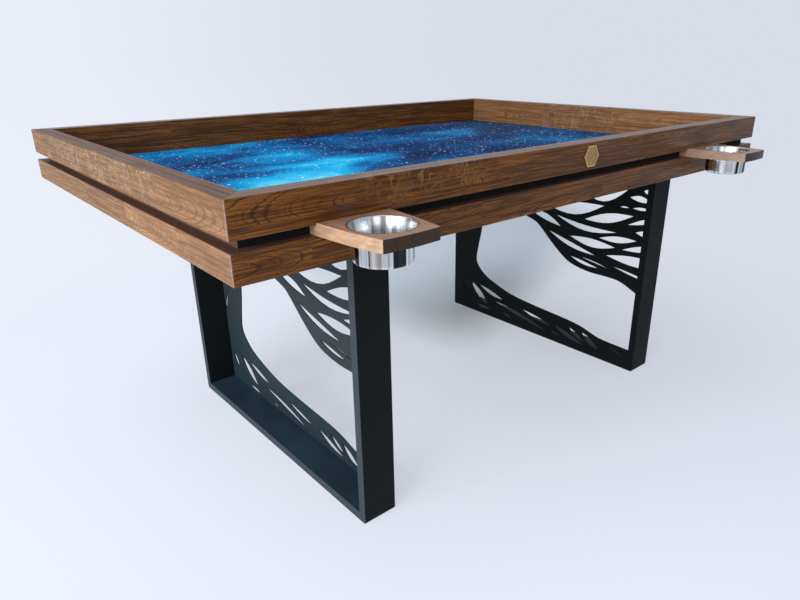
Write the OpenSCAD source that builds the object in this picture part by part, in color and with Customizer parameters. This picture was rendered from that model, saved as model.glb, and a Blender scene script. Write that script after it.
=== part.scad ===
// Board game table: a sunken playing surface in an oak rail with an accessory slot,
// on two welded steel leg frames with cut root and branch panels.
// Millimetres, +Z up, +X along the table, -Y is the front with the badge and cup holders.
// The origin is on the floor under the middle of the whole outline, cup holders included.

/* [Table top] */
// Length over the rails
top_l = 1632; // [1400:1:2000]
// Width over the rails
top_w = 1142; // [1000:1:1400]
// Height of the rail top above the floor
table_h = 750; // [700:1:800]
// Height of the upper rail
upper_rail_h = 59; // [50:1:80]
// Height of the slot between the rails
slot_h = 17; // [14:0.5:22]
// Height of the lower rail
lower_rail_h = 49; // [40:1:70]
// Thickness of the rail boards
rail_t = 22; // [18:1:28]
// Thickness of the liner boards inside the rails
liner_t = 18; // [14:1:24]
// Radius that eases the outer edges of the boards
edge_r = 2; // [1:0.5:4]

/* [Slot] */
// Thickness of the black strip at the back of the long slots
slot_strip_t = 1.5; // [1:0.5:3]

/* [Playing surface] */
// Depth of the mat below the rail top
mat_drop = 82; // [70:1:90]
// Thickness of the mat
mat_t = 4; // [2:0.5:6]
// Gap round the mat
mat_gap = 1.5; // [1:0.5:4]
// Thickness of the plywood bed
bed_t = 12; // [9:1:18]
// Gap round the bed
bed_gap = 0.5; // [0.3:0.1:2]
// Width of the ledger strips that carry the bed
ledger_w = 22; // [16:1:30]
// Width of the cross beams over the legs
leg_beam_w = 120; // [100:1:160]
// Width of the middle cross beam
middle_beam_w = 90; // [60:1:120]

/* [Leg frames] */
// Distance from each end of the top to its leg frame
leg_overhang = 264.5; // [200:0.5:320]
// Depth of a leg frame from front to back
leg_d = 791; // [700:1:850]
// How far the leg frames stand forward of the middle of the top
leg_forward = 80; // [0:1:90]
// Width of the leg tube, along the table
tube_w = 80; // [60:1:100]
// Thickness of the leg tube
tube_t = 20; // [16:1:30]
// Wall of the leg tube
tube_wall = 2; // [1.5:0.5:3]
// Radius of the outer bottom corners
corner_r = 5; // [2:0.5:8]
// Thickness of the top plate
plate_t = 6; // [4:0.5:10]
// Thickness of the cut panels
panel_t = 3; // [2:0.5:8]

/* [Leg screws] */
// Distance between the screws along the table
screw_pitch_x = 40; // [36:1:50]
// Distance between the screws from front to back
screw_pitch_y = 280; // [200:1:300]
// Number of screw rows from front to back
screw_rows = 3; // [2:1:3]
// Radius of the screw shank
screw_r = 2.5; // [2:0.25:3]
// Radius of the screw head
screw_head_r = 6; // [5:0.5:7]
// Height of the screw head
screw_head_h = 3.5; // [2.5:0.5:5]
// Length of the screw under its head
screw_l = 26; // [18:1:30]
// Radial gap round the shank in the plate
screw_plate_gap = 0.8; // [0.5:0.1:1.5]
// Radial gap round the shank in the beam
screw_beam_gap = 0.1; // [0.1:0.1:0.3]

/* [Badge] */
// Size of the badge across its corners
badge_w = 51.5; // [40:0.5:60]
// Place of the badge along the front rail, from the middle
badge_x = 8; // [-200:1:200]
// Thickness of the badge at its rim
badge_t = 2.4; // [2:0.1:4]
// Width of the raised rim
badge_rim = 3.5; // [2:0.5:6]
// Depth of the plain field inside the rim
badge_field_drop = 1; // [0.5:0.1:1.2]

/* [Cup holders] */
// Distance from the left end of the top to the middle of the left holder
left_holder_inset = 207; // [100:1:500]
// Distance from the right end of the top to the middle of the right holder
right_holder_inset = 313; // [100:1:500]
// How far the middle of the holder's front edge stands out of the rail
holder_reach = 142; // [136:1:160]
// Width of the holder plate at the rail
holder_back_w = 138; // [130:1:160]
// Width of the holder plate between its front corners
holder_front_w = 105; // [100:1:124]
// How far the side and front edges of the plate bow outwards
holder_bow = 3; // [1:0.5:5]
// How far the plate rises above the top of the slot, in front of the rail
holder_lip = 3.5; // [2:0.5:6]
// Gap between the tongue and the slot, on each side
tongue_gap = 0.3; // [0.2:0.1:0.6]
// Gap behind the tongue
tongue_end_gap = 0.6; // [0.4:0.1:2]
// Distance from the front edge of the plate to the middle of the cup
cup_inset = 71; // [66:1:74]

/* [Cups] */
// Outer radius of the straight lower wall of the cup
cup_r = 47; // [42:0.5:47.5]
// Wall of the cup
cup_wall = 1; // [0.8:0.1:1.5]
// Radius at which the flat rim begins
cup_rim_r = 53; // [51.5:0.5:53.5]
// Outer radius of the flat rim
cup_flange_r = 54.5; // [54.5:0.5:56]
// Depth of the cup from the rim to the underside
cup_depth = 57; // [50:1:80]
// Height of the flared upper wall
cup_flare_h = 35; // [20:1:36]
// Radius of the bottom edge of the cup
cup_bottom_r = 6; // [4:0.5:10]
// Radius of the roll from the rim into the cup
cup_lip_r = 2; // [1.6:0.2:3]
// Radial gap between the mouth of the cup and the hole in the plate
cup_hole_gap = 1; // [0.8:0.1:1.4]
// Radial gap round the rim in its recess
flange_gap = 0.5; // [0.3:0.1:1]
// Gap between the rim and its seat
seat_gap = 0.3; // [0.2:0.1:0.5]

/* [Cut panels] */
// Width of the frame opening that the panel pattern is drawn for
pattern_w = 751; // [700:1:800]
// Height of the frame opening that the panel pattern is drawn for
pattern_h = 599; // [550:1:650]

/* [Hidden] */

// Colours
oak_tone = [0.36, 0.22, 0.12];
liner_tone = [0.40, 0.26, 0.16];
ply_tone = [0.72, 0.60, 0.42];
mat_tone = [0.06, 0.32, 0.62];
black_tone = [0.05, 0.06, 0.07];
brass_tone = [0.80, 0.68, 0.42];
steel_tone = [0.78, 0.80, 0.82];

// Heights
slot_top = table_h - upper_rail_h;
slot_bottom = slot_top - slot_h;
rail_bottom = slot_bottom - lower_rail_h;
mat_top = table_h - mat_drop;
bed_top = mat_top - mat_t;
bed_bottom = bed_top - bed_t;
post_top = rail_bottom - plate_t;

// Distances in plan, from the middle of the top
inner_l = top_l - 2 * (rail_t + liner_t);
inner_w = top_w - 2 * (rail_t + liner_t);
slot_back_y = top_w / 2 - rail_t;
leg_spacing = top_l - 2 * leg_overhang - tube_w;
leg_front_y = -leg_forward - leg_d / 2;
leg_rear_y = leg_front_y + leg_d;

// The outline in Y runs from the front edge of the holders to the back rail
origin_y = -holder_reach / 2;

// Frame opening between the posts, the foot bar and the top plate
open_front_y = leg_front_y + tube_t;
open_w = leg_d - 2 * tube_t;
open_h = post_top - tube_t;

// Cup holders
left_holder_x = -top_l / 2 + left_holder_inset;
right_holder_x = top_l / 2 - right_holder_inset;
plate_bottom = slot_bottom + tongue_gap;
plate_top = slot_top + holder_lip;
holder_front_y = -top_w / 2 - holder_reach;
lip_y = -top_w / 2 - tongue_gap;
tongue_y = -slot_back_y - slot_strip_t - tongue_end_gap;
cup_y = holder_front_y + cup_inset;
cup_top = plate_top;
flange_seat = cup_top - cup_wall - seat_gap;
lip_z = cup_top - cup_lip_r;
flare_z = lip_z - cup_flare_h;
hole_r = cup_rim_r - cup_lip_r + cup_wall + cup_hole_gap;

round_fn = 96;
eps = 0.01;
cut = 1;

// Points of an arc about c, from angle a0 to a1
function arc(c, r, a0, a1, n = 3) =
    [for (i = [0:n]) c + r * [cos(a0 + (a1 - a0) * i / n), sin(a0 + (a1 - a0) * i / n)]];

// All the points but the first, which ends the curve before
function tail(pts) = [for (i = [1:len(pts) - 1]) pts[i]];

// One span of a smooth curve through four points
function span(p, i, t) = 0.5 * (
    2 * p[i]
    + (p[i + 1] - p[i - 1]) * t
    + (2 * p[i - 1] - 5 * p[i] + 4 * p[i + 1] - p[i + 2]) * t * t
    + (3 * p[i] - p[i - 1] - 3 * p[i + 1] + p[i + 2]) * t * t * t);

// Smooth curve through all the points, with n steps a span
function smooth(pts, n = 4) =
    let (last = len(pts) - 1,
         p = concat([2 * pts[0] - pts[1]], pts, [2 * pts[last] - pts[last - 1]]))
    concat([for (i = [1:last], k = [0:n - 1]) span(p, i, k / n)], [pts[last]]);

// Way from a to b, without b itself, that bows by rise to its left
function bowed(a, b, rise, n = 8) =
    let (d = b - a, side = [-d[1], d[0]] / norm(d))
    [for (i = [0:n - 1]) a + d * i / n + side * rise * sin(180 * i / n)];

// Leaf from tip a to tip b. Its two edges bow by up and down, to the left of the way from a to b
function leaf(a, b, up, down) = concat(bowed(a, b, up), bowed(b, a, -down));

// A point of the panel pattern, placed in the frame opening
function in_opening(p) =
    [open_front_y + p[0] * open_w / pattern_w, tube_t + p[1] * open_h / pattern_h];
function all_in_opening(pts) = [for (p = pts) in_opening(p)];

// Moves the top's middle to its place in the part's frame
module at_origin() {
    translate([0, -origin_y, 0]) children();
}

// Extrudes a shape drawn in Y and Z along X, from x0 to x1
module along_x(x0, x1) {
    translate([min(x0, x1), 0, 0])
        rotate([90, 0, 90]) linear_extrude(abs(x1 - x0)) children();
}

// Front board of a mitred ring, with its outer edges eased
module mitred_board(run, reach, t, z0, z1, ease_top, ease_bottom) {
    y0 = -reach;
    y1 = -reach + t;
    bottom = ease_bottom ? arc([y0 + edge_r, z0 + edge_r], edge_r, 180, 270) : [[y0, z0]];
    top = ease_top ? arc([y0 + edge_r, z1 - edge_r], edge_r, 90, 180) : [[y0, z1]];
    intersection() {
        along_x(-run / 2, run / 2)
            polygon(concat(bottom, [[y1, z0], [y1, z1]], top));
        translate([0, 0, z0 - cut])
            linear_extrude(z1 - z0 + 2 * cut)
            polygon([[-run / 2, y0], [run / 2, y0], [run / 2 - t, y1], [-run / 2 + t, y1]]);
    }
}

// Turns a front board to the side it belongs to
module on_side(side) {
    turn = side == "front" ? 0 : side == "back" ? 180 : side == "left" ? -90 : 90;
    rotate([0, 0, turn]) children();
}

function run_of(side, l, w) = side == "front" || side == "back" ? l : w;
function reach_of(side, l, w) = run_of(side, w, l) / 2;

module upper_rail(side) {
    color(oak_tone) at_origin() on_side(side)
        mitred_board(run_of(side, top_l, top_w), reach_of(side, top_l, top_w), rail_t,
                     slot_top, table_h, true, true);
}

module lower_rail(side) {
    color(oak_tone) at_origin() on_side(side)
        mitred_board(run_of(side, top_l, top_w), reach_of(side, top_l, top_w), rail_t,
                     rail_bottom, slot_bottom, true, true);
}

module liner(side) {
    l = top_l - 2 * rail_t;
    w = top_w - 2 * rail_t;
    color(liner_tone) at_origin() on_side(side)
        mitred_board(run_of(side, l, w), reach_of(side, l, w), liner_t,
                     rail_bottom, table_h, false, false);
}

// Black strip on the liner, at the back of a long slot
module slot_strip(side) {
    color(black_tone) at_origin() on_side(side)
        translate([-top_l / 2 + rail_t, -slot_back_y - slot_strip_t, slot_bottom])
        cube([top_l - 2 * rail_t, slot_strip_t, slot_h]);
}

module play_bed() {
    color(ply_tone) at_origin()
        translate([-inner_l / 2 + bed_gap, -inner_w / 2 + bed_gap, bed_bottom])
        cube([inner_l - 2 * bed_gap, inner_w - 2 * bed_gap, bed_t]);
}

module play_mat() {
    color(mat_tone) at_origin()
        translate([-inner_l / 2 + mat_gap, -inner_w / 2 + mat_gap, bed_top])
        cube([inner_l - 2 * mat_gap, inner_w - 2 * mat_gap, mat_t]);
}

// Strip under the bed, against the liner. The long ones run right through
module ledger(side) {
    long = side == "front" || side == "back";
    ledger_l = long ? inner_l : inner_w - 2 * ledger_w;
    reach = reach_of(side, inner_l, inner_w);
    color(ply_tone) at_origin() on_side(side)
        translate([-ledger_l / 2, -reach, rail_bottom])
        cube([ledger_l, ledger_w, bed_bottom - rail_bottom]);
}

// Screw places on a leg, about the middle of its top plate
module at_screws(x) {
    for (ix = [-1, 1], iy = [0:screw_rows - 1])
        translate([x + ix * screw_pitch_x / 2,
                   -leg_forward + (iy - (screw_rows - 1) / 2) * screw_pitch_y, 0])
        children();
}

module cross_beam(x, beam_w, drilled) {
    beam_l = inner_w - 2 * ledger_w;
    color(ply_tone) at_origin() difference() {
        translate([x - beam_w / 2, -beam_l / 2, rail_bottom])
            cube([beam_w, beam_l, bed_bottom - rail_bottom]);
        if (drilled)
            at_screws(x) translate([0, 0, rail_bottom - cut])
                cylinder(h = screw_l - plate_t + 2 * cut, r = screw_r + screw_beam_gap,
                         $fn = 24);
    }
}

// Outline of a whole leg frame with its outer bottom corners rounded
module frame_outline() {
    polygon(concat(
        arc([leg_front_y + corner_r, corner_r], corner_r, 180, 270, 4),
        arc([leg_rear_y - corner_r, corner_r], corner_r, 270, 360, 4),
        [[leg_rear_y, post_top], [leg_front_y, post_top]]));
}

// Post drawn at the front of a frame, mitred at its foot, and its hollow
function post_shape() = [
    [leg_front_y, 0], [open_front_y, tube_t], [open_front_y, post_top], [leg_front_y, post_top]];
function post_hollow() = [
    [leg_front_y + tube_wall, tube_wall - cut],
    [open_front_y - tube_wall, tube_t - tube_wall - cut],
    [open_front_y - tube_wall, post_top + cut],
    [leg_front_y + tube_wall, post_top + cut]];

// Foot bar, mitred at both ends, and its hollow
function foot_shape() = [
    [leg_front_y, 0], [leg_rear_y, 0], [leg_rear_y - tube_t, tube_t], [open_front_y, tube_t]];
function foot_hollow() = [
    [leg_front_y + tube_wall - cut, tube_wall],
    [leg_rear_y - tube_wall + cut, tube_wall],
    [leg_rear_y - tube_t + tube_wall + cut, tube_t - tube_wall],
    [open_front_y - tube_wall - cut, tube_t - tube_wall]];

// Tube of the leg frame at x, from its outline and its hollow
module frame_tube(x, shape, hollow) {
    difference() {
        intersection() {
            along_x(x - tube_w / 2, x + tube_w / 2) frame_outline();
            along_x(x - tube_w / 2 - cut, x + tube_w / 2 + cut) polygon(shape);
        }
        along_x(x - tube_w / 2 + tube_wall, x + tube_w / 2 - tube_wall) polygon(hollow);
    }
}

module front_post(x) {
    color(black_tone) at_origin() frame_tube(x, post_shape(), post_hollow());
}

module rear_post(x) {
    color(black_tone) at_origin()
        translate([0, leg_front_y + leg_rear_y, 0]) mirror([0, 1, 0])
        frame_tube(x, post_shape(), post_hollow());
}

module foot_bar(x) {
    color(black_tone) at_origin() frame_tube(x, foot_shape(), foot_hollow());
}

module top_plate(x) {
    color(black_tone) at_origin() difference() {
        translate([x - tube_w / 2, leg_front_y, post_top]) cube([tube_w, leg_d, plate_t]);
        at_screws(x) translate([0, 0, post_top - cut])
            cylinder(h = plate_t + 2 * cut, r = screw_r + screw_plate_gap, $fn = 24);
    }
}

// Screws up through the top plate into the cross beam, each one solid
module leg_screws(x) {
    color(black_tone) at_origin() at_screws(x) {
        translate([0, 0, post_top - screw_head_h])
            cylinder(h = screw_head_h, r = screw_head_r, $fn = 24);
        translate([0, 0, post_top - eps])
            cylinder(h = screw_l + eps, r = screw_r, $fn = 24);
    }
}

// Inner edge of the root panel, from the top of the trunk to the front post
root_edge = [
    [581, 599], [606, 500], [624, 410], [636, 310], [652, 235], [659, 195], [652, 170],
    [616, 138], [556, 114], [476, 94], [376, 84], [256, 77], [186, 70], [136, 57],
    [96, 49], [0, 46]];

// Slits of the root panel: two tips and the bow of each edge
root_slits = [
    [[9, 15], [71, 37], 2, -2],
    [[107, 12], [174, 50], 8, -12],
    [[165, 8], [285, 42], 4, -12],
    [[166, 20], [224, 52], 5, -9],
    [[256, 8], [301, 14], 3, -2],
    [[298, 33], [430, 55], 4, -8],
    [[318, 6], [565, 47], 10, -3],
    [[476, 6], [518, 15], 2, -5],
    [[518, 62], [640, 92], 5, -11],
    [[592, 22], [684, 94], 12, -14],
    [[582, 8], [648, 9], 5, -5],
    [[705, 38], [737, 90], 7, -7],
    [[722, 298], [768, 175], 4, -4],
    [[672, 330], [690, 450], 4, -4],
    [[716, 370], [724, 500], 5, -4],
    [[648, 430], [640, 545], 4, -4],
    [[684, 480], [676, 580], 4, -4]];

// Lower edge of the branch panel, from the front post to the top plate
branch_edge = [
    [0, 235], [51, 256], [91, 261], [166, 261], [226, 270], [266, 287], [316, 324],
    [376, 375], [406, 388], [446, 402], [491, 445], [514, 510], [521, 599]];

// Openings between the branches. Those with a tip before the post are open towards it
branch_gaps = [
    [[-14, 536], [13, 540], 8, -6],
    [[-14, 510], [54, 516], 12, -6],
    [[-14, 489], [42, 486], 5, -4],
    [[53, 486], [82, 484], 3, -2],
    [[64, 535], [226, 515], 15, -35],
    [[36, 464], [201, 425], 13, -16],
    [[-64, 472], [51, 435], 8, -6],
    [[136, 478], [351, 448], 9, -30],
    [[84, 405], [311, 421], -6, -24],
    [[-44, 417], [24, 417], 10, -9],
    [[16, 393], [143, 377], 9, -11],
    [[-64, 385], [61, 357], 9, -9],
    [[84, 358], [251, 362], 9, -18],
    [[149, 318], [338, 365], 1, -15],
    [[286, 385], [416, 418], 16, -6],
    [[-104, 332], [114, 328], 15, -16],
    [[-64, 276], [89, 300], 3, -5],
    [[94, 287], [211, 304], 3, -1],
    [[136, 280], [246, 298], 2, -9],
    [[76, 572], [231, 568], 10, -8],
    [[256, 570], [396, 576], 6, -12],
    [[251, 525], [416, 540], 6, -14],
    [[306, 480], [446, 510], 8, -12],
    [[396, 445], [476, 505], 4, -12]];

// Cut sheet in the plane of a leg frame, flush with its inner edge
module cut_panel(side, outline, gaps) {
    inner_x = side * (leg_spacing - tube_w) / 2;
    along_x(inner_x, inner_x + side * panel_t)
        difference() {
            polygon(all_in_opening(outline));
            for (g = gaps)
                polygon(all_in_opening(leaf(g[0], g[1], g[2], g[3])));
        }
}

module root_panel(side) {
    color(black_tone) at_origin()
        cut_panel(side, concat(smooth(root_edge), [[0, 0], [pattern_w, 0], [pattern_w, pattern_h]]),
                  root_slits);
}

module branch_panel(side) {
    color(black_tone) at_origin()
        cut_panel(side, concat(smooth(branch_edge), [[0, pattern_h]]), branch_gaps);
}

// Plain six-sided plate with a raised rim, flat sides up and down
module badge() {
    badge_z = slot_top + upper_rail_h / 2;
    inner_w6 = badge_w - 2 * badge_rim / cos(30);
    color(brass_tone) at_origin()
        translate([badge_x, -top_w / 2, badge_z]) rotate([90, 0, 0])
        difference() {
            cylinder(h = badge_t, r = badge_w / 2, $fn = 6);
            translate([0, 0, badge_t - badge_field_drop])
                cylinder(h = badge_field_drop + cut, r = inner_w6 / 2, $fn = 6);
        }
}

// Plan of the holder in front of the rail, with bowed sides and front
function plate_outline() =
    let (back_x = holder_back_w / 2,
         front_x = holder_front_w / 2,
         corner_y = holder_front_y + holder_bow)
    concat(
        bowed([-back_x, lip_y], [-front_x, corner_y], -holder_bow),
        bowed([-front_x, corner_y], [front_x, corner_y], -holder_bow),
        bowed([front_x, corner_y], [back_x, lip_y], -holder_bow),
        [[back_x, lip_y]]);

// Oak plate with a tongue that slides in the slot, and a stepped hole for the cup
module holder(x) {
    back_x = holder_back_w / 2;
    color(oak_tone) at_origin() translate([x, 0, 0]) difference() {
        union() {
            translate([0, 0, plate_bottom])
                linear_extrude(slot_h - 2 * tongue_gap)
                polygon(concat(plate_outline(), [[back_x, tongue_y], [-back_x, tongue_y]]));
            translate([0, 0, plate_bottom])
                linear_extrude(plate_top - plate_bottom)
                polygon(plate_outline());
        }
        translate([0, cup_y, plate_bottom - cut])
            cylinder(h = plate_top - plate_bottom + 2 * cut, r = hole_r, $fn = round_fn);
        translate([0, cup_y, flange_seat])
            cylinder(h = plate_top, r = cup_flange_r + flange_gap, $fn = round_fn);
    }
}

// Drawn steel cup. Its straight wall flares in one arc that runs on into the roll of the rim
module cup(x) {
    floor_z = cup_top - cup_depth;
    bend_c = [cup_r - cup_bottom_r, floor_z + cup_bottom_r];
    widening = cup_rim_r - cup_lip_r - cup_r + cup_wall;
    flare_angle = 2 * atan(widening / cup_flare_h);
    flare_r = cup_flare_h / sin(flare_angle) + cup_lip_r;
    flare_c = [cup_r - cup_wall + flare_r, flare_z];
    lip_c = [cup_rim_r, lip_z];
    lip_start = 180 - flare_angle;
    color(steel_tone) at_origin() translate([x, cup_y, 0])
        rotate_extrude($fn = round_fn)
        polygon(concat(
            [[0, floor_z + cup_wall], [0, floor_z]],
            arc(bend_c, cup_bottom_r, 270, 360, 5),
            arc(flare_c, flare_r - cup_wall, 180, lip_start, 6),
            tail(arc(lip_c, cup_lip_r - cup_wall, lip_start, 90, 3)),
            [[cup_flange_r, cup_top - cup_wall], [cup_flange_r, cup_top]],
            arc(lip_c, cup_lip_r, 90, lip_start, 3),
            tail(arc(flare_c, flare_r, lip_start, 180, 6)),
            arc(bend_c, cup_bottom_r - cup_wall, 360, 270, 5)));
}

left_leg_x = -leg_spacing / 2;
right_leg_x = leg_spacing / 2;

upper_rail("front");  // upper_rail_front
upper_rail("back");  // upper_rail_back
upper_rail("left");  // upper_rail_left
upper_rail("right");  // upper_rail_right
lower_rail("front");  // lower_rail_front
lower_rail("back");  // lower_rail_back
lower_rail("left");  // lower_rail_left
lower_rail("right");  // lower_rail_right
liner("front");  // liner_front
liner("back");  // liner_back
liner("left");  // liner_left
liner("right");  // liner_right
slot_strip("front");  // slot_strip_front
slot_strip("back");  // slot_strip_back
play_bed();
play_mat();
ledger("front");  // ledger_front
ledger("back");  // ledger_back
ledger("left");  // ledger_left
ledger("right");  // ledger_right
cross_beam(left_leg_x, leg_beam_w, true);  // cross_beam_left
cross_beam(0, middle_beam_w, false);  // cross_beam_middle
cross_beam(right_leg_x, leg_beam_w, true);  // cross_beam_right
front_post(left_leg_x);  // left_front_post
rear_post(left_leg_x);  // left_rear_post
foot_bar(left_leg_x);  // left_foot_bar
top_plate(left_leg_x);  // left_top_plate
root_panel(-1);  // left_root_panel
branch_panel(-1);  // left_branch_panel
leg_screws(left_leg_x);  // left_leg_screws
front_post(right_leg_x);  // right_front_post
rear_post(right_leg_x);  // right_rear_post
foot_bar(right_leg_x);  // right_foot_bar
top_plate(right_leg_x);  // right_top_plate
root_panel(1);  // right_root_panel
branch_panel(1);  // right_branch_panel
leg_screws(right_leg_x);  // right_leg_screws
badge();
holder(left_holder_x);  // holder_left
cup(left_holder_x);  // cup_left
holder(right_holder_x);  // holder_right
cup(right_holder_x);  // cup_right
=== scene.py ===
"""Looks of the board game table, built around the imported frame. Metres, +Z up."""

import math
import random
from collections import namedtuple

import bmesh
import bpy
from mathutils import Matrix, Vector


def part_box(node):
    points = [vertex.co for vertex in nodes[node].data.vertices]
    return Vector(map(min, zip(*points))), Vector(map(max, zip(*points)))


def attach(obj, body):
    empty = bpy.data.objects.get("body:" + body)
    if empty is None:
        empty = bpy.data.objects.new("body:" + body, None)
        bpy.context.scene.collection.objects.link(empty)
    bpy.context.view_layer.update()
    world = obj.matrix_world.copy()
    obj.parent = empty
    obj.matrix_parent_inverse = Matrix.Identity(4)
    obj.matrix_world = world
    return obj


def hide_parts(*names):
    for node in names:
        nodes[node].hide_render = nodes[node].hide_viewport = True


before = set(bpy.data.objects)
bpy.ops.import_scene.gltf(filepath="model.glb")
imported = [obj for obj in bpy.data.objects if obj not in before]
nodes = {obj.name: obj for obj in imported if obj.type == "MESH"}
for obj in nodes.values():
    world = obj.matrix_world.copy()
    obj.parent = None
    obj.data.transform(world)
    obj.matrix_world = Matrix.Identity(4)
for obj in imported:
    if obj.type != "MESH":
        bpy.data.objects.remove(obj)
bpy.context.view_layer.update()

# Oak colours, linear, before a board's own tint
OAK_DEEP = (0.088, 0.032, 0.0085)
OAK_PALE = (0.250, 0.105, 0.0330)
OAK_RING = (0.022, 0.0075, 0.0020)
OAK_FIBRE = (0.060, 0.022, 0.0060)
OAK_PORE = (0.022, 0.008, 0.0025)
OAK_FLECK = (0.50, 0.290, 0.140)
OAK_END = (0.0078, 0.0028, 0.0009)
OAK_EVEN = (0.135, 0.054, 0.0160)
# Painted highlight on the boards' end edges
OAK_EDGE_HIGHLIGHT = (0.30, 0.22, 0.20)
# Painted shade for the bottom of the slots
OAK_SLOT_FLOOR = (0.100, 0.060, 0.060)

# Sizes in the wood
RING_WIDTH = 0.0027
SEAM_DEPTH = 0.0185
SEAM_BLUR = 0.0011
# Width and blur of the painted highlight on the boards' end edges
EDGE_HIGHLIGHT_WIDTH = 0.0014
EDGE_HIGHLIGHT_BLUR = 0.0012
PLY_LAYER = 0.0024

# Floor and backdrop show one colour, which gets dimmer to the right
BACKDROP = (0.835, 0.870, 0.965)
FLOOR_SIZE = 60.0

# The floor lies this far under the feet, so that the two don't flicker
FLOOR_DROP = 0.0003

# Colour of the floor where it takes light and shadow, and of the even light from all round
FLOOR_DIFFUSE = (0.76, 0.85, 0.93)
SKY_FILL = (0.86, 0.92, 1.0)
SKY_STRENGTH = 0.36

# Camera, from the photograph's own vanishing lines
CAMERA_PLACE = (-1.1535, -1.2844, 0.9274)
YAW = math.radians(41.11)
PITCH = math.radians(21.52)
ROLL = math.radians(-0.37)
FOCAL_PIXELS = 626.8
FRAME_PIXELS = 800.0
MIDDLE_PIXEL = (400.0, 300.0)
AXIS_PIXEL = (423.3, 300.0)

SIDES = ("front", "back", "left", "right")

# Axes along, across and into the boards of each side
SIDE_AXES = {"front": "XZY", "back": "XZY", "left": "YZX", "right": "YZX"}

# Tints of the wood, which paint how light falls: each side and its flat tops have their own, the left
# and right boards much paler and bluer as painted window light and glare from the left. Also how
# much rougher the wood is, and how far its figure is evened out
BOARD_TOP_TINT = (0.84, 0.78, 0.68)
SIDE_LOOKS = {
    "front": dict(tint=(0.88, 0.75, 0.38)),
    "back": dict(tint=(0.88, 0.84, 0.68)),
    "left": dict(tint=(1.56, 1.98, 2.88), dull=0.16, fade=0.45),
    "right": dict(tint=(1.52, 1.82, 2.53), fade=0.35),
}
# The holders' tints are paler and bluer still: painted window light and glare from the left
HOLDER_TINTS = {"left": (2.9, 4.5, 9.6), "right": (2.2, 3.5, 8.6)}
HOLDER_TOP_TINT = (2.4, 3.4, 7.4)
HOLDER_FADE = 0.75

# Boards whose staves aren't read from the photograph: the lower edges of their rows, and a seed
LOOSE_ROWS = {
    "upper_rail": ((0.691, 0.720), 10),
    "lower_rail": ((0.625,), 10),
    "liner": ((0.625, 0.688), 5),
}
SEEDS_PER_SIDE = 10
ROW_MIDDLE = 0.020

# A stave starts at a place along its board. The heart of its tree lies at heart across the board
# and at depth off its face, which slope adds to along the stave. flecks is its share of them.
Stave = namedtuple("Stave", "start heart depth slope flecks", defaults=(0.0, 0.0))

# Staves are stored in a colour ramp, as shares of this span about its middle
STAVE_SPAN = 4.0

# Staves that the photograph shows, row by row: the row's lower edge and its staves
SHOWN_STAVES = {
    "upper_rail_front": [
        (0.691, [Stave(-0.816, 0.640, 0.020), Stave(-0.539, 0.640, 0.010, 0.03),
                 Stave(-0.248, 0.760, 0.020, 0.05), Stave(0.220, 0.640, 0.030, 0.02)]),
        (0.708, [Stave(-0.816, 0.722, 0.052, -0.14), Stave(-0.589, 0.870, 0.010, 0.02, 0.8),
                 Stave(-0.293, 0.690, 0.030, 0.05), Stave(0.150, 0.740, 0.020, 0.06, 0.1),
                 Stave(0.480, 0.650, 0.030, -0.03)]),
    ],
    "lower_rail_front": [
        (0.625, [Stave(-0.816, 0.648, 0.012, 0.14), Stave(-0.690, 0.680, 0.030, 0.04),
                 Stave(-0.330, 0.630, 0.045, -0.06), Stave(0.060, 0.600, 0.020, 0.04),
                 Stave(0.390, 0.660, 0.018, 0.05, 0.2)]),
    ],
    "upper_rail_left": [
        (0.691, [Stave(-0.500, 0.716, 0.050, -0.16), Stave(-0.238, 0.870, 0.012, 0.03, 1.0),
                 Stave(0.525, 0.660, 0.030, 0.02)]),
    ],
    "lower_rail_left": [
        (0.625, [Stave(-0.500, 0.590, 0.020, 0.05, 0.3), Stave(-0.308, 0.654, 0.048, -0.15),
                 Stave(-0.054, 0.800, 0.010, 0.02, 0.15), Stave(0.204, 0.610, 0.030, 0.06)]),
    ],
    "liner_back": [
        (0.625, [Stave(-0.776, 0.670, 0.030, 0.03), Stave(-0.420, 0.620, 0.040, -0.05),
                 Stave(-0.130, 0.690, 0.055, -0.13), Stave(0.270, 0.640, 0.020, 0.03)]),
        (0.706, [Stave(-0.776, 0.800, 0.010, 0.02, 0.2), Stave(-0.480, 0.700, 0.030, 0.04),
                 Stave(0.080, 0.680, 0.030, 0.05), Stave(0.430, 0.780, 0.010, 0.02)]),
    ],
    "liner_right": [
        (0.625, [Stave(-0.460, 0.720, 0.030, 0.05), Stave(-0.060, 0.860, 0.010, 0.02, 0.6),
                 Stave(0.240, 0.700, 0.050, -0.13)]),
    ],
}

LEG_PARTS = ("front_post", "rear_post", "foot_bar", "top_plate", "root_panel", "branch_panel")
LEG_TUBES = LEG_PARTS[:3]


def colour(r, g, b):
    """A linear colour with full alpha, for a socket."""
    return (r, g, b, 1.0)


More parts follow.
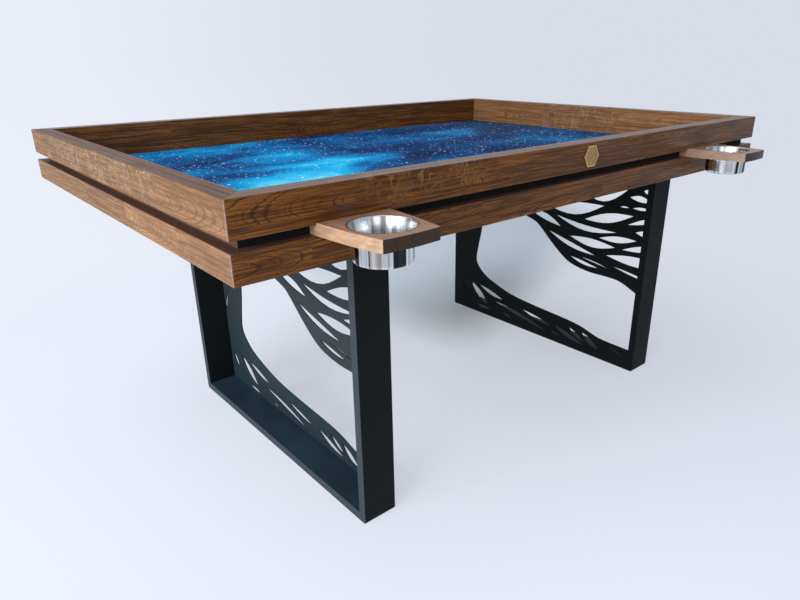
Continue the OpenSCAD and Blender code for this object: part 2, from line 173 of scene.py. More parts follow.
class Graph:
    """A node tree with short calls for the nodes that the materials use."""

    def __init__(self, tree):
        self.tree = tree

    def add(self, kind, **settings):
        node = self.tree.nodes.new(kind)
        for key, value in settings.items():
            setattr(node, key, value)
        return node

    def feed(self, socket, value):
        """Links a socket, or sets a plain value."""
        if isinstance(value, bpy.types.NodeSocket):
            self.tree.links.new(value, socket)
        elif value is not None:
            socket.default_value = value

    def math(self, operation, a, b=None, c=None):
        node = self.add("ShaderNodeMath", operation=operation)
        for socket, value in zip(node.inputs, (a, b, c)):
            self.feed(socket, value)
        return node.outputs[0]

    def plus(self, a, b):
        return self.math("ADD", a, b)

    def minus(self, a, b):
        return self.math("SUBTRACT", a, b)

    def times(self, a, b):
        return self.math("MULTIPLY", a, b)

    def line(self, value, slope, start):
        """The value times the slope, plus the start."""
        return self.math("MULTIPLY_ADD", value, slope, start)

    def absolute(self, value):
        return self.math("ABSOLUTE", value)

    def distance(self, a, b):
        """Length of the hypotenuse over two sides."""
        return self.math("SQRT", self.plus(self.times(a, a), self.times(b, b)))

    def vector(self, x, y, z):
        node = self.add("ShaderNodeCombineXYZ")
        for socket, value in zip(node.inputs, (x, y, z)):
            self.feed(socket, value)
        return node.outputs[0]

    def split(self, vector):
        """The x, y and z of a vector."""
        node = self.add("ShaderNodeSeparateXYZ")
        self.feed(node.inputs[0], vector)
        return node.outputs

    def split_colour(self, shade):
        """The red, green and blue of a colour."""
        node = self.add("ShaderNodeSeparateColor")
        self.feed(node.inputs[0], shade)
        return node.outputs

    def place(self):
        """Object coordinates, which are the frame's own metres."""
        return self.add("ShaderNodeTexCoord").outputs["Object"]

    def normal(self):
        """The x, y and z of the way the surface faces."""
        return self.split(self.add("ShaderNodeNewGeometry").outputs["Normal"])

    def facing(self, part, most=1.0):
        """Rises to most as the given part of the normal nears 1."""
        return self.range(part, 0.6, 0.9, 0.0, most)

    def noise(self, vector, scale=1.0, detail=2.0, roughness=0.5, distortion=0.0):
        node = self.add("ShaderNodeTexNoise")
        self.feed(node.inputs["Vector"], vector)
        node.inputs["Scale"].default_value = scale
        node.inputs["Detail"].default_value = detail
        node.inputs["Roughness"].default_value = roughness
        node.inputs["Distortion"].default_value = distortion
        return node.outputs["Fac"]

    def range(self, value, low, high, to_low=0.0, to_high=1.0, smooth=True):
        """Turns the range from low to high into the range from to_low to to_high."""
        node = self.add("ShaderNodeMapRange")
        node.interpolation_type = "SMOOTHSTEP" if smooth else "LINEAR"
        self.feed(node.inputs["Value"], value)
        self.feed(node.inputs["From Min"], low)
        self.feed(node.inputs["From Max"], high)
        self.feed(node.inputs["To Min"], to_low)
        self.feed(node.inputs["To Max"], to_high)
        return node.outputs["Result"]

    def mix(self, factor, a, b, blend="MIX"):
        """Mixes two colours, each a socket or a linear red, green and blue."""
        node = self.add("ShaderNodeMix", data_type="RGBA", blend_type=blend)
        self.feed(node.inputs[0], factor)
        for socket, value in ((node.inputs[6], a), (node.inputs[7], b)):
            self.feed(socket, colour(*value) if isinstance(value, tuple) else value)
        return node.outputs[2]

    def ramp(self, factor, stops, mode="LINEAR"):
        """A colour ramp with stops of a place and a colour, which may have its own alpha."""
        node = self.add("ShaderNodeValToRGB")
        ramp = node.color_ramp
        ramp.interpolation = mode
        while len(ramp.elements) < len(stops):
            ramp.elements.new(1.0)
        for element, (place, shade) in zip(ramp.elements, stops):
            element.position = place
            element.color = (*shade, 1.0)[:4]
        self.feed(node.inputs[0], factor)
        return node.outputs["Color"]

    def bump(self, height, strength, distance):
        node = self.add("ShaderNodeBump")
        node.inputs["Strength"].default_value = strength
        node.inputs["Distance"].default_value = distance
        self.feed(node.inputs["Height"], height)
        return node.outputs[0]


def new_material(name):
    """A new material, its graph, and its one shader."""
    material = bpy.data.materials.new(name)
    material.use_nodes = True
    graph = Graph(material.node_tree)
    shader = next(n for n in material.node_tree.nodes if n.type == "BSDF_PRINCIPLED")
    return material, graph, shader


def make_oak_group():
    """Oak at a place in a stave: rings round the heart of its tree, fibres, pores and ray flecks."""
    tree = bpy.data.node_groups.new("oak_grain", "ShaderNodeTree")
    for name in ("Along", "Across", "Depth", "Heart across", "Heart depth", "Fleck", "Shift",
                 "End grain"):
        tree.interface.new_socket(name, in_out="INPUT", socket_type="NodeSocketFloat")
    tree.interface.new_socket("Color", in_out="OUTPUT", socket_type="NodeSocketColor")
    tree.interface.new_socket("Roughness", in_out="OUTPUT", socket_type="NodeSocketFloat")
    tree.interface.new_socket("Height", in_out="OUTPUT", socket_type="NodeSocketFloat")
    g = Graph(tree)
    given = g.add("NodeGroupInput").outputs
    along, across, depth, heart_across, heart_depth, fleck_share, shift, end_grain = given[:8]

    def grain(along_scale, across_scale, *settings):
        """Noise stretched along the grain, by its scales each way, then detail and roughness."""
        place = g.vector(g.times(along, along_scale), g.times(across, across_scale),
                         g.line(depth, across_scale, shift))
        return g.noise(place, 1.0, *settings)

    def swing(value, size):
        """A noise value turned into a swing of the given size about zero."""
        return g.times(g.minus(value, 0.5), size)

    # Distance from the heart, which sways a little along the stave
    sway = g.noise(g.vector(g.times(along, 6.0), shift, 0.0), 1.0, 1.0)
    lean = g.noise(g.vector(shift, g.times(along, 5.0), 5.0), 1.0, 1.0)
    beside = g.plus(g.minus(across, heart_across), swing(sway, 0.012))
    behind = g.plus(g.plus(depth, heart_depth), swing(lean, 0.014))
    radius = g.distance(beside, behind)

    # Rings of uneven width, whose early wood is a jagged dark line
    growth = g.noise(g.vector(g.times(radius, 130.0), shift, 2.0), 1.0, 1.0)
    ripple = grain(14.0, 26.0, 2.0)
    jag = grain(75.0, 420.0, 2.0)
    phase = g.plus(g.math("DIVIDE", radius, RING_WIDTH), swing(growth, 3.2))
    phase = g.plus(phase, swing(ripple, 1.5))
    phase = g.plus(phase, swing(jag, 0.75))
    ring = g.math("FLOOR", phase)
    part = g.math("FRACT", phase)
    chance = g.add("ShaderNodeTexWhiteNoise", noise_dimensions="1D")
    g.feed(chance.inputs["W"], g.plus(ring, shift))
    weight = g.range(chance.outputs["Value"], 0.0, 1.0, 0.25, 1.0, smooth=False)
    early = g.times(g.range(part, 0.0, 0.07), g.range(part, 0.44, 0.12))
    early = g.times(early, weight)

    # Fibres, broader bands, and short pores that crowd into the early wood
    fibre = grain(16.0, 520.0, 3.0, 0.7)
    broad = grain(3.0, 90.0, 1.0)
    narrow = grain(7.0, 230.0, 2.0, 0.8)
    band = g.plus(g.times(broad, 0.20), g.times(narrow, 0.80))
    pore = g.range(grain(110.0, 1300.0, 1.0), 0.55, 0.68)
    pore = g.times(pore, g.line(early, 0.8, 0.25))

    # Ray flecks stand across the grain, as blotches and as thin winding lines, in patches
    field = g.noise(g.vector(g.line(along, 50.0, swing(ripple, 5.0)), g.times(across, 22.0),
                             g.line(depth, 22.0, shift)), 1.0, 1.5, 0.5, 0.6)
    blotch = g.range(field, 0.55, 0.65)
    thin = g.range(g.absolute(g.minus(field, 0.50)), 0.030, 0.0)
    patch = g.noise(g.vector(g.times(along, 11.0), g.times(across, 18.0), shift))
    fleck = g.plus(g.times(blotch, 0.24), g.times(thin, 0.56))
    fleck = g.times(fleck, g.range(patch, 0.32, 0.50))
    fleck = g.times(fleck, fleck_share)

    wood = g.mix(g.range(band, 0.40, 0.60), OAK_DEEP, OAK_PALE)
    wood = g.mix(g.times(early, g.line(fleck_share, -0.40, 0.92)), wood, OAK_RING)
    wood = g.mix(g.range(fibre, 0.46, 0.62, 0.0, 0.50), wood, OAK_FIBRE)
    wood = g.mix(g.times(pore, 0.50), wood, OAK_PORE)
    wood = g.mix(fleck, wood, OAK_FLECK)
    wood = g.mix(g.times(end_grain, 0.95), wood, OAK_END)

    out = g.add("NodeGroupOutput").inputs
    g.feed(out["Color"], wood)
    rough = g.plus(g.times(pore, 0.20), g.range(fibre, 0.2, 0.8, 0.26, 0.40))
    g.feed(out["Roughness"], g.minus(rough, g.times(fleck, 0.10)))
    height = g.minus(g.times(fibre, 0.25), g.times(pore, 0.8))
    g.feed(out["Height"], g.minus(height, g.times(early, 0.35)))
    return tree


oak_group = make_oak_group()


def loose_staves(seed, low, high, row_middle):
    """Staves of chance lengths for one row of a board."""
    draw = random.Random(seed)
    staves = []
    start = low
    while start < high:
        # A heart far to one side makes the stave quarter-sawn, which is what shows flecks
        flecked = draw.random() < 0.3
        heart = row_middle + (0.16 if flecked else draw.uniform(-0.05, 0.05))
        staves.append(Stave(start, heart, draw.uniform(0.015, 0.05), draw.uniform(-0.10, 0.10),
                            draw.uniform(0.5, 1.0) if flecked else 0.0))
        start += draw.uniform(0.20, 0.50)
    return staves


def stave_data(g, along, across, low, high, rows):
    """The stave that each point lies in, as the colour of one stepped ramp. It holds the staves row
    after row: as colour the heart, the depth where along is 0, and the slope, and as alpha the
    share of flecks."""
    count = len(rows)
    order = g.range(along, low, high, 0.0, 1.0 / count, smooth=False)
    for edge, _ in rows[1:]:
        order = g.line(g.math("GREATER_THAN", across, edge), 1.0 / count, order)
    stops = []
    for index, (_, staves) in enumerate(rows):
        for stave in staves:
            at = (index + max(0.0, (stave.start - low) / (high - low))) / count
            zero_depth = stave.depth - stave.slope * stave.start
            stored = [0.5 + value / STAVE_SPAN for value in (stave.heart, zero_depth, stave.slope)]
            stops.append((at, (*stored, stave.flecks)))
    return g.ramp(order, stops, "CONSTANT")


def oak_material(name, axes, face, low, high, rows, tint, top_tint=BOARD_TOP_TINT, dull=0.0,
                 fade=0.0, seam=False, arris=False, slot_floor=False):
    """Oiled oak for one board. axes names the axis along, across and into the board, face is where
    its visible face lies on the last one, and low and high are its ends. rows lists each row of
    staves as the place of its lower edge and its staves. tint and top_tint colour the upright and
    the flat faces and paint how light falls on them, dull is added to the roughness, and fade evens
    out the figure. seam darkens the board towards the one behind it, arris paints a highlight on
    its end edges, and slot_floor paints shade on its top, which is the bottom of a slot."""
    material, g, shader = new_material(name)
    place = g.split(g.place())
    along, across, depth = (place["XYZ".index(axis)] for axis in axes)
    into = g.minus(depth, face)
    normal = g.normal()
    end_grain = g.range(g.absolute(normal["XYZ".index(axes[0])]), 0.75, 0.9)

    data = stave_data(g, along, across, low, high, rows)
    heart, zero_depth, slope = (g.line(part, STAVE_SPAN, -STAVE_SPAN / 2)
                                for part in g.split_colour(data))
    flecks = data.node.outputs["Alpha"]
    own = g.add("ShaderNodeTexWhiteNoise", noise_dimensions="3D")
    g.feed(own.inputs["Vector"], data)
    chance = own.outputs["Value"]

    group = g.add("ShaderNodeGroup", node_tree=oak_group)
    g.feed(group.inputs["Along"], along)
    g.feed(group.inputs["Across"], across)
    g.feed(group.inputs["Depth"], into)
    g.feed(group.inputs["Heart across"], heart)
    g.feed(group.inputs["Heart depth"], g.line(slope, along, zero_depth))
    g.feed(group.inputs["Fleck"], flecks)
    g.feed(group.inputs["Shift"], g.times(chance, 40.0))
    g.feed(group.inputs["End grain"], end_grain)

    wood = group.outputs["Color"]
    if fade:
        wood = g.mix(g.line(end_grain, -fade, fade), wood, OAK_EVEN)

    # Staves differ in tone, and flecked ones are darker between their flecks
    tone = g.times(g.range(chance, 0.0, 1.0, 0.90, 1.10, smooth=False), g.line(flecks, -0.25, 1.0))
    wood = g.mix(1.0, wood, g.vector(tone, tone, tone), "MULTIPLY")
    if seam:
        wood = g.mix(g.range(g.absolute(into), SEAM_DEPTH - SEAM_BLUR, SEAM_DEPTH), wood, OAK_PORE)
    # Painted shade on the bottom of the slot
    if slot_floor:
        wood = g.mix(g.facing(normal[2], 0.8), wood, OAK_SLOT_FLOOR)
    # arris paints a highlight along the board's end edges
    if arris:
        highlight_from = (high - low) / 2 - EDGE_HIGHLIGHT_WIDTH
        from_middle = g.absolute(g.minus(along, (low + high) / 2))
        edge_highlight = g.range(from_middle, highlight_from - EDGE_HIGHLIGHT_BLUR, highlight_from)
        wood = g.mix(g.times(edge_highlight, 0.30), wood, OAK_EDGE_HIGHLIGHT)
    # Painted light: upright and flat faces take each side's own tints
    tints = g.mix(g.facing(g.absolute(normal[2])), tint, top_tint)
    g.feed(shader.inputs["Base Color"], g.mix(1.0, wood, tints, "MULTIPLY"))
    g.feed(shader.inputs["Roughness"], g.plus(group.outputs["Roughness"], dull))
    g.feed(shader.inputs["Normal"], g.bump(group.outputs["Height"], 0.30, 0.0004))
    shader.inputs["Specular IOR Level"].default_value = 0.24
    return material


def steel_material():
    """Black powder coat, with painted window light on the left leg's flat sides, painted shade on
    the right leg, and dust and painted sky light on what faces up.
    """
    material, g, shader = new_material("powder_coat")
    place = g.place()
    x, _, z = g.split(place)
    normal_x, _, normal_z = g.normal()
    grain = g.noise(place, 900.0, 2.0)
    cloud = g.noise(place, 9.0, 3.0)
    left_leg = g.range(x, 0.3, -0.3)
    coat = g.mix(cloud, (0.0058, 0.0074, 0.0080), (0.0074, 0.0092, 0.0100))
    # The right leg's coat is darker, as painted shade under the table
    coat = g.mix(left_leg, (0.0036, 0.0056, 0.0060), coat)

    # The left leg's flat sides get painted window light: darkest at the top as painted shade
    # under the table, bluest at the foot and palest outside on the tubes
    painted_side_light = g.mix(g.range(z, 0.56, 0.32), (0.0150, 0.0195, 0.0235), (0.0290, 0.0360, 0.0415))
    painted_side_light = g.mix(g.range(z, 0.28, 0.12), painted_side_light, (0.0205, 0.0350, 0.0425))
    painted_side_light = g.mix(g.range(g.absolute(x), 0.540, 0.550), painted_side_light, (0.0390, 0.0490, 0.0580))
    flat_side = g.times(g.facing(g.absolute(normal_x), 0.9), left_leg)
    # Upward faces turn paler blue in patches: dust, and painted sky light
    dust_and_sky_light = g.times(g.range(normal_z, 0.5, 0.9), g.range(cloud, 0.3, 0.7, 0.6, 0.95))
    shade = g.mix(dust_and_sky_light, g.mix(flat_side, coat, painted_side_light), (0.020, 0.048, 0.070))
    g.feed(shader.inputs["Base Color"], shade)
    g.feed(shader.inputs["Roughness"], g.range(cloud, 0.3, 0.7, 0.42, 0.50, smooth=False))
    g.feed(shader.inputs["Normal"], g.bump(grain, 0.12, 0.0003))
    shader.inputs["Specular IOR Level"].default_value = 0.08
    return material


def mat_material():
    """Printed play mat: clouds of blue to cyan on navy, with a random field of stars, greyed to the
    right as a painted sheen.
    """
    material, g, shader = new_material("star_mat")
    place = g.place()
    x, y, _ = g.split(place)
    cloud = g.noise(g.vector(g.plus(x, 4.9), g.times(y, 1.7), 0.7), 1.9, 4.0, 0.5, 0.4)
    wisp = g.noise(g.vector(g.plus(x, 9.1), g.times(y, 1.4), 1.3), 6.0, 6.0, 0.6, 0.7)
    glow = g.plus(g.times(cloud, 0.82), g.times(wisp, 0.24))
    glow = g.plus(glow, g.range(x, -0.8, 0.8, 0.055, -0.060, smooth=False))
    sky = g.ramp(glow, [
        (0.38, (0.0010, 0.014, 0.060)),
        (0.46, (0.0015, 0.036, 0.140)),
        (0.52, (0.0020, 0.100, 0.300)),
        (0.58, (0.0030, 0.240, 0.560)),
        (0.65, (0.0080, 0.480, 0.860)),
        (0.76, (0.2000, 0.850, 1.000)),
    ])
    # Towards the right the mat greys to navy, as a painted sheen
    sky = g.mix(g.range(x, 0.1, 0.7, 0.0, 0.45), sky, (0.026, 0.058, 0.115))

    # Small, middling and large stars: cells to a metre, share of empty cells, size and brightness
    for scale, empty, size, bright in ((150.0, 0.90, 0.22, 0.85), (70.0, 0.80, 0.17, 1.0),
                                       (26.0, 0.72, 0.10, 1.0)):
        cell = g.add("ShaderNodeTexVoronoi", voronoi_dimensions="2D", feature="F1")
        g.feed(cell.inputs["Vector"], place)
        cell.inputs["Scale"].default_value = scale
        chance = g.split_colour(cell.outputs["Color"])
        radius = g.times(g.plus(chance[1], 0.25), size)
        spot = g.range(cell.outputs["Distance"], radius, g.times(radius, 0.4))
        spot = g.times(spot, g.math("GREATER_THAN", chance[0], empty))
        sky = g.mix(g.times(spot, bright), sky, (0.92, 0.97, 1.0))
    g.feed(shader.inputs["Base Color"], sky)
    knit = g.noise(place, 1400.0, 1.0)
    g.feed(shader.inputs["Roughness"], g.range(knit, 0.3, 0.7, 0.74, 0.84, smooth=False))
    g.feed(shader.inputs["Normal"], g.bump(knit, 0.15, 0.0002))
    shader.inputs["Specular IOR Level"].default_value = 0.05
    return material


def zinc_material():
    """Zinc-plated screws with faint handling marks."""
    material, g, shader = new_material("zinc")
    marks = g.noise(g.place(), 60.0, 4.0)
    g.feed(shader.inputs["Base Color"], g.mix(marks, (0.30, 0.30, 0.31), (0.22, 0.22, 0.23)))
    g.feed(shader.inputs["Roughness"], g.range(marks, 0.3, 0.7, 0.30, 0.45, smooth=False))
    shader.inputs["Metallic"].default_value = 1.0
    return material


def brass_material():
    """Cast brass whose rim is brighter than its field from rubbing."""
    material, g, shader = new_material("brass")
    place = g.place()
    _, y, _ = g.split(place)
    marks = g.noise(place, 260.0, 4.0)
    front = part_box("badge")[0].y
    rim = g.range(y, front + 0.0008, front + 0.0003)
    field = g.mix(marks, (0.60, 0.41, 0.18), (0.38, 0.25, 0.10))
    g.feed(shader.inputs["Base Color"], g.mix(rim, field, (0.70, 0.50, 0.27)))
    g.feed(shader.inputs["Roughness"], g.range(marks, 0.3, 0.7, 0.30, 0.45, smooth=False))
    g.feed(shader.inputs["Normal"], g.bump(marks, 0.25, 0.0004))
    shader.inputs["Metallic"].default_value = 1.0
    return material


def cup_material(node, seed):
    """Drawn steel with painted reflections: upright light and dark streaks round the cup, evened
    towards grey and rougher inside, and plain where it is flat.
    """
    material, g, shader = new_material(f"steel_{node}")
    x, y, _ = g.split(g.place())
    low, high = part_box(node)
    x = g.minus(x, (low.x + high.x) / 2)
    y = g.minus(y, (low.y + high.y) / 2)
    angle = g.math("ARCTAN2", y, x)
    turn = g.vector(g.math("COSINE", angle), g.math("SINE", angle), seed)
    wide = g.noise(turn, 3.6, 0.0)
    fine = g.noise(turn, 10.0, 1.0)
    # Painted reflections: light, dark and tan streaks by the angle round the cup
    shade = g.ramp(g.plus(g.times(wide, 0.86), g.times(fine, 0.14)), [
        (0.37, (0.020, 0.035, 0.040)),
        (0.41, (0.060, 0.050, 0.045)),
        (0.42, (0.520, 0.440, 0.360)),
        (0.47, (0.860, 0.820, 0.770)),
        (0.49, (1.000, 1.000, 1.000)),
        (0.57, (0.900, 0.930, 0.960)),
        (0.60, (0.470, 0.540, 0.600)),
        (0.64, (0.850, 0.880, 0.920)),
    ])
    normal_x, normal_y, normal_z = g.normal()
    outwards = g.plus(g.times(normal_x, x), g.times(normal_y, y))
    inside = g.range(outwards, 0.01, -0.01)
    # Inside, the painted reflections are evened towards grey
    shade = g.mix(g.times(inside, 0.6), shade, (0.50, 0.54, 0.57))
    shade = g.mix(g.facing(g.absolute(normal_z)), shade, (0.60, 0.63, 0.65))
    g.feed(shader.inputs["Base Color"], shade)
    g.feed(shader.inputs["Roughness"], g.line(inside, 0.12, g.range(fine, 0.3, 0.7, 0.14, 0.22)))
    shader.inputs["Metallic"].default_value = 1.0
    return material


def ply_material():
    """Pale plywood and softwood of the hidden bed and beams."""
    material, g, shader = new_material("ply")
    x, y, z = g.split(g.place())
    streaks = g.noise(g.vector(g.times(x, 6.0), g.times(y, 60.0), g.times(z, 60.0)), 1.0, 4.0)
    layers = g.math("FRACT", g.math("DIVIDE", z, PLY_LAYER))
    tone = g.mix(streaks, (0.42, 0.29, 0.16), (0.58, 0.43, 0.27))
    tone = g.mix(g.range(layers, 0.45, 0.55, 0.0, 0.12), tone, (0.32, 0.20, 0.10))
    g.feed(shader.inputs["Base Color"], tone)
    g.feed(shader.inputs["Roughness"], g.range(streaks, 0.3, 0.7, 0.55, 0.70, smooth=False))
    g.feed(shader.inputs["Normal"], g.bump(streaks, 0.2, 0.0003))
    return material


def strip_material():
    """Matt black strip at the back of the slots."""
    material, g, shader = new_material("slot_black")
    speck = g.noise(g.place(), 300.0, 2.0)
    g.feed(shader.inputs["Base Color"], g.mix(speck, (0.004, 0.004, 0.004), (0.010, 0.009, 0.008)))
    g.feed(shader.inputs["Roughness"], g.range(speck, 0.3, 0.7, 0.75, 0.9, smooth=False))
    shader.inputs["Specular IOR Level"].default_value = 0.2
    return material


def dress(node_names, material):
    """Gives CAD nodes one material in place of their own."""
    for name in node_names:
        data = nodes[name].data
        data.materials.clear()
        data.materials.append(material)


def shade_smooth(name):
    """Shades a CAD node's faces smooth, without moving its points."""
    for polygon in nodes[name].data.polygons:
        polygon.use_smooth = True


def ease(node_names, width):
    """Rounds the sharp edges of CAD nodes for the render."""
    for name in node_names:
        bevel = nodes[name].modifiers.new("eased_edges", "BEVEL")
        bevel.width = width
        bevel.segments = 2
        bevel.limit_method = "ANGLE"
        bevel.angle_limit = math.radians(28)
        bevel.harden_normals = True
        shade_smooth(name)


def dress_board(kind, side):
    """Oak for one rail or liner board, with its staves."""
    name = f"{kind}_{side}"
    axes = SIDE_AXES[side]
    along = "XYZ".index(axes[0])
    into = "XYZ".index(axes[2])
    low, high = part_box(name)
    low_is_outside = side in ("front", "left")
    shows_outside = kind != "liner"
    face = low[into] if low_is_outside == shows_outside else high[into]
    rows = SHOWN_STAVES.get(name)
    if rows is None:
        edges, seed = LOOSE_ROWS[kind]
        seed += SEEDS_PER_SIDE * SIDES.index(side)
        rows = [(edge, loose_staves(seed + index, low[along], high[along], edge + ROW_MIDDLE))
                for index, edge in enumerate(edges)]
    dress([name], oak_material(
        f"oak_{name}", axes, face, low[along], high[along], rows, seam=kind != "lower_rail",
        arris=kind != "liner", slot_floor=kind == "lower_rail", **SIDE_LOOKS[side]))


def dress_holder(side):
    """Oak for one cup holder, a single stave whose grain runs out from the table."""
    name = f"holder_{side}"
    low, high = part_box(name)
    stave = Stave(start=low.y, heart=(low.x + high.x) / 2 + 0.05, depth=0.03, slope=0.05)
    dress([name], oak_material(
        f"oak_{name}", "YXZ", high.z, low.y, high.y, [(low.x, [stave])],
        tint=HOLDER_TINTS[side], top_tint=HOLDER_TOP_TINT, fade=HOLDER_FADE))


def dress_cup(node, seed):
    """Steel with painted streaks of reflection for one cup, with its round walls smooth and its
    edges sharp.
    """
    dress([node], cup_material(node, seed))
    shade_smooth(node)
    sharp = nodes[node].modifiers.new("sharp_edges", "EDGE_SPLIT")
    sharp.split_angle = math.radians(35)


def make_play_mat():
    """The play mat as a finely divided sheet in place of its plain solid."""
    low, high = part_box("play_mat")
    mesh = bpy.data.meshes.new("star_mat")
    bm = bmesh.new()
    bmesh.ops.create_cube(bm, size=1.0)
    for vertex in bm.verts:
        for axis in range(3):
            vertex.co[axis] = low[axis] if vertex.co[axis] < 0 else high[axis]
    bmesh.ops.subdivide_edges(bm, edges=bm.edges[:], cuts=24, use_grid_fill=True)
    bm.to_mesh(mesh)
    bm.free()
    mesh.materials.append(mat_material())
    play_mat = bpy.data.objects.new("star_mat", mesh)
    bpy.context.scene.collection.objects.link(play_mat)
    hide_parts("play_mat")
    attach(play_mat, "mat")


def seen_rays(g):
    """Share of camera, glossy and transmitted rays, and of glossy rays alone."""
    path = g.add("ShaderNodeLightPath").outputs
    glossy = path["Is Glossy Ray"]
    mirrored = g.math("MAXIMUM", glossy, path["Is Transmission Ray"])
    return g.math("MAXIMUM", path["Is Camera Ray"], mirrored), glossy


def backdrop_strength(g, sideways, forwards, glossy):
    """Brightness by direction: less to the right, and dimmer reflections of the left and near sides."""
    right = g.range(sideways, 0.0, 0.8, 1.0, 0.82)
    near = g.range(forwards, 0.3, -0.8, 1.0, 0.65)
    left = g.range(sideways, 0.2, -0.5, 1.0, 0.60)
    return g.times(right, g.range(glossy, 0.0, 1.0, 1.0, g.times(near, left), smooth=False))


def floor_material():
    """Pale floor, clear from below. Around the table and behind it to the right it takes the
    table's shadow, and elsewhere it shows the plain backdrop colour."""
    material = bpy.data.materials.new("pale_floor")
    material.use_nodes = True
    g = Graph(material.node_tree)
    material.node_tree.nodes.clear()
    x, y, _ = g.split(g.place())
    away = g.distance(x, y)
    behind = g.times(g.range(g.line(x, -0.45, y), -0.38, 0.14), g.range(y, 2.2, 1.2))
    behind = g.times(behind, g.times(g.range(x, -0.15, 0.40), g.range(x, 2.6, 1.7)))
    around = g.range(away, 0.4, 2.0, 0.42, 0.0, smooth=False)
    shaded = g.math("MAXIMUM", g.times(behind, 0.92), around)

    # Far out, these two become the direction by which the backdrop is dimmed
    reach = g.plus(away, 2.0)
    sideways = g.math("DIVIDE", g.plus(x, 0.8), reach)
    forwards = g.math("DIVIDE", y, reach)
    seen, glossy = seen_rays(g)
    plain = g.add("ShaderNodeEmission")
    plain.inputs[0].default_value = colour(*BACKDROP)
    g.feed(plain.inputs[1], backdrop_strength(g, sideways, forwards, glossy))
    diffuse = g.add("ShaderNodeBsdfDiffuse")
    diffuse.inputs[0].default_value = colour(*FLOOR_DIFFUSE)
    mix = g.add("ShaderNodeMixShader")
    g.feed(mix.inputs[0], g.times(seen, g.minus(1.0, shaded)))
    g.feed(mix.inputs[1], diffuse.outputs[0])
    g.feed(mix.inputs[2], plain.outputs[0])
    one_sided = g.add("ShaderNodeMixShader")
    g.feed(one_sided.inputs[0], g.add("ShaderNodeNewGeometry").outputs["Backfacing"])
    g.feed(one_sided.inputs[1], mix.outputs[0])
    g.feed(one_sided.inputs[2], g.add("ShaderNodeBsdfTransparent").outputs[0])
    g.feed(g.add("ShaderNodeOutputMaterial").inputs["Surface"], one_sided.outputs[0])
    return material


def make_floor():
    bpy.ops.mesh.primitive_plane_add(size=FLOOR_SIZE, location=(0, 0, -FLOOR_DROP))
    floor = bpy.context.object
    floor.name = "pale_floor"
    floor.data.materials.append(floor_material())


def studio_world():
    """The backdrop for rays that are seen, and a weak even fill for those that light the table."""
    world = bpy.data.worlds.new("studio")
    world.use_nodes = True
    world.node_tree.nodes.clear()
    g = Graph(world.node_tree)
    sideways, forwards, _ = g.split(g.add("ShaderNodeTexCoord").outputs["Generated"])
    seen, glossy = seen_rays(g)
    backdrop = g.add("ShaderNodeBackground")
    backdrop.inputs[0].default_value = colour(*BACKDROP)
    g.feed(backdrop.inputs[1], backdrop_strength(g, sideways, forwards, glossy))
    fill = g.add("ShaderNodeBackground")
    fill.inputs[0].default_value = colour(*SKY_FILL)
    fill.inputs[1].default_value = SKY_STRENGTH
    mix = g.add("ShaderNodeMixShader")
    g.feed(mix.inputs[0], seen)
    g.feed(mix.inputs[1], fill.outputs[0])
    g.feed(mix.inputs[2], backdrop.outputs[0])
    g.feed(g.add("ShaderNodeOutputWorld").inputs[0], mix.outputs[0])
    return world


def area_light(name, place, target, size, power, tint):
    """A rectangular lamp at a place, turned to its target."""
    data = bpy.data.lights.new(name, "AREA")
    data.shape = "RECTANGLE"
    data.size, data.size_y = size
    data.energy = power
    data.color = tint
    lamp = bpy.data.objects.new(name, data)
    bpy.context.scene.collection.objects.link(lamp)
    lamp.location = place
    lamp.rotation_euler = (Vector(target) - Vector(place)).to_track_quat("-Z", "Y").to_euler()


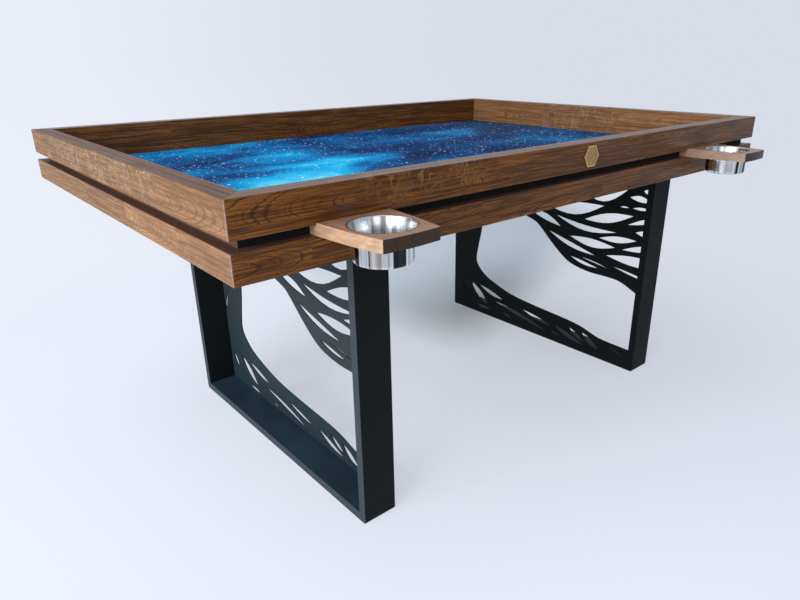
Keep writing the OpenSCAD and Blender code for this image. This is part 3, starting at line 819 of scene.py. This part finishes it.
def photo_camera():
    """The camera that sees the table as the photograph does."""
    data = bpy.data.cameras.new("camera")
    data.sensor_width = 36.0
    data.lens = FOCAL_PIXELS / FRAME_PIXELS * data.sensor_width
    data.shift_x = (MIDDLE_PIXEL[0] - AXIS_PIXEL[0]) / FRAME_PIXELS
    data.shift_y = (AXIS_PIXEL[1] - MIDDLE_PIXEL[1]) / FRAME_PIXELS
    data.clip_end = 200.0
    level_reach = math.cos(PITCH)
    forward = Vector((math.sin(YAW) * level_reach, math.cos(YAW) * level_reach, -math.sin(PITCH)))
    level = Vector((math.cos(YAW), -math.sin(YAW), 0.0))
    upright = level.cross(forward)
    right = level * math.cos(ROLL) + upright * math.sin(ROLL)
    up = upright * math.cos(ROLL) - level * math.sin(ROLL)
    turn = Matrix((right, up, -forward)).transposed().to_4x4()
    camera = bpy.data.objects.new("camera", data)
    bpy.context.scene.collection.objects.link(camera)
    camera.matrix_world = Matrix.Translation(CAMERA_PLACE) @ turn
    return camera


for side in SIDES:
    for kind in LOOSE_ROWS:
        dress_board(kind, side)
dress_holder("left")
dress_holder("right")
ease([f"{kind}_{side}" for kind in ("upper_rail", "lower_rail") for side in SIDES], width=0.0011)
ease([f"liner_{side}" for side in SIDES], width=0.0007)
ease(["holder_left", "holder_right"], width=0.0010)

dress([f"{side}_{part}" for side in ("left", "right") for part in LEG_PARTS], steel_material())
ease([f"{side}_{part}" for side in ("left", "right") for part in LEG_TUBES], width=0.0010)
dress(["left_leg_screws", "right_leg_screws"], zinc_material())

dress(["play_bed"] + [f"ledger_{side}" for side in SIDES]
      + [f"cross_beam_{place}" for place in ("left", "middle", "right")], ply_material())
dress(["slot_strip_front", "slot_strip_back"], strip_material())
dress(["badge"], brass_material())
ease(["badge"], width=0.0004)
dress_cup("cup_left", seed=3.1)
dress_cup("cup_right", seed=7.4)

make_play_mat()
make_floor()
bpy.context.scene.world = studio_world()
area_light("window_left", place=(-4.2, -0.9, 1.7), target=(-0.2, 0.0, 0.7), size=(3.4, 2.0),
           power=230.0, tint=(0.98, 0.98, 1.0))
area_light("ceiling", place=(-0.4, 0.6, 3.6), target=(0.0, 0.1, 0.7), size=(3.0, 2.4),
           power=42.0, tint=(0.97, 0.98, 1.0))
area_light("front_fill", place=(-1.6, -4.0, 2.0), target=(0.0, 0.0, 0.6), size=(2.0, 2.0),
           power=22.0, tint=(1.0, 0.96, 0.90))
bpy.context.scene.camera = photo_camera()
bpy.context.scene.view_settings.view_transform = "Standard"
